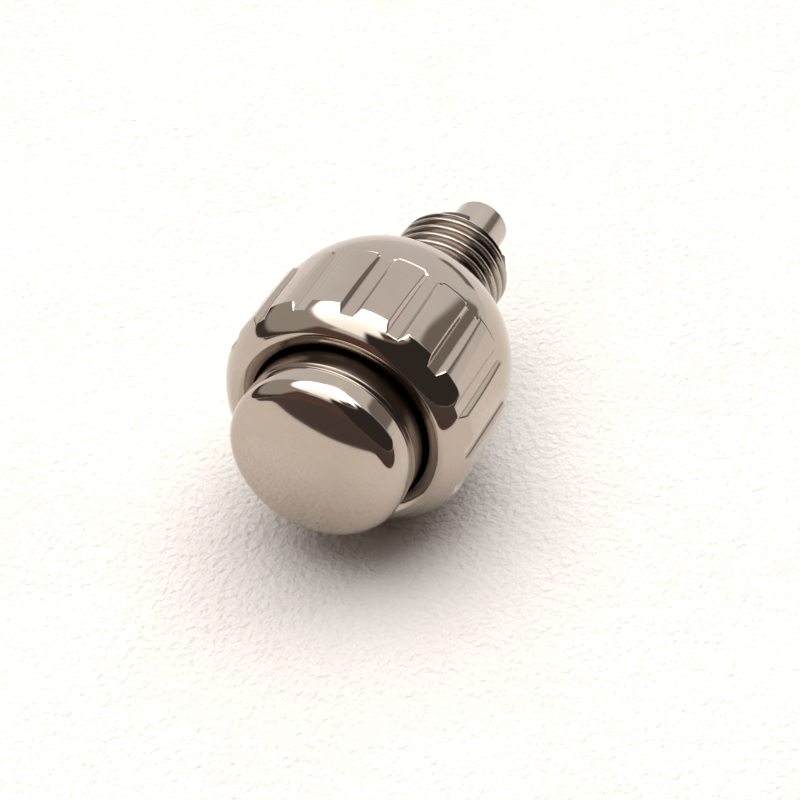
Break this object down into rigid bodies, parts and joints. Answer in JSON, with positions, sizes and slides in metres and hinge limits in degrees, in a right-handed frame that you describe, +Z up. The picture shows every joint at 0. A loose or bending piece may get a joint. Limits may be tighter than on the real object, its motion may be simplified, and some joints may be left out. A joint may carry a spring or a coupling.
{
  "type": "screw-down chronograph pusher",
  "caption": "Screw-down watch pusher: domed head on a sprung sealed stem, threaded case tube and a fluted collar that screws back to free the head.",
  "frame": {"origin": "on the pusher's axis, in the plane where the tube's flange seats on the case", "axes": "+Y along the axis from the head towards the case, +Z up with the watch on its back, +X to the right when looking at the case from the head"},
  "size_m": [0.0054, 0.009, 0.0054],
  "materials": {
    "polished_steel": "mirror polished stainless steel",
    "machined_steel": "bright machined stainless steel",
    "turned_steel": "fine turned stainless steel",
    "spring_steel": "spring steel, plain",
    "black_rubber": "smooth black nitrile rubber"
  },
  "bodies": {
    "tube": {"pusher_tube": "machined_steel", "case_gasket": "black_rubber", "outer_stem_seal": "black_rubber", "inner_stem_seal": "black_rubber", "seal_spacer": "turned_steel", "gland_washer": "turned_steel", "return_spring": "spring_steel"},
    "head": {"head_cap": "polished_steel", "stem": "turned_steel", "retaining_clip": "spring_steel"},
    "lift_ring": {"lock_gasket": "black_rubber"},
    "collar": {"locking_collar": "polished_steel"}
  },
  "joints": [
    {"name": "head_push", "type": "slide", "parent": "tube", "child": "head", "axis": [0, 1, 0], "range_m": [0, 0.0008], "stiffness_N_per_m": 1500, "springref_m": -0.0004, "deforming": ["return_spring"]},
    {"name": "collar_lift", "type": "slide", "parent": "tube", "child": "lift_ring", "axis": [0, -1, 0], "range_m": [0, 0.000875]},
    {"name": "collar_turn", "type": "hinge", "parent": "lift_ring", "child": "collar", "pos_m": [0, -0.002, 0], "axis": [0, -1, 0], "range_deg": [0, 900]}
  ],
  "couplings": [
    {"joint": "collar_turn", "follows": "collar_lift", "rad_per_m": 17952}
  ]
}
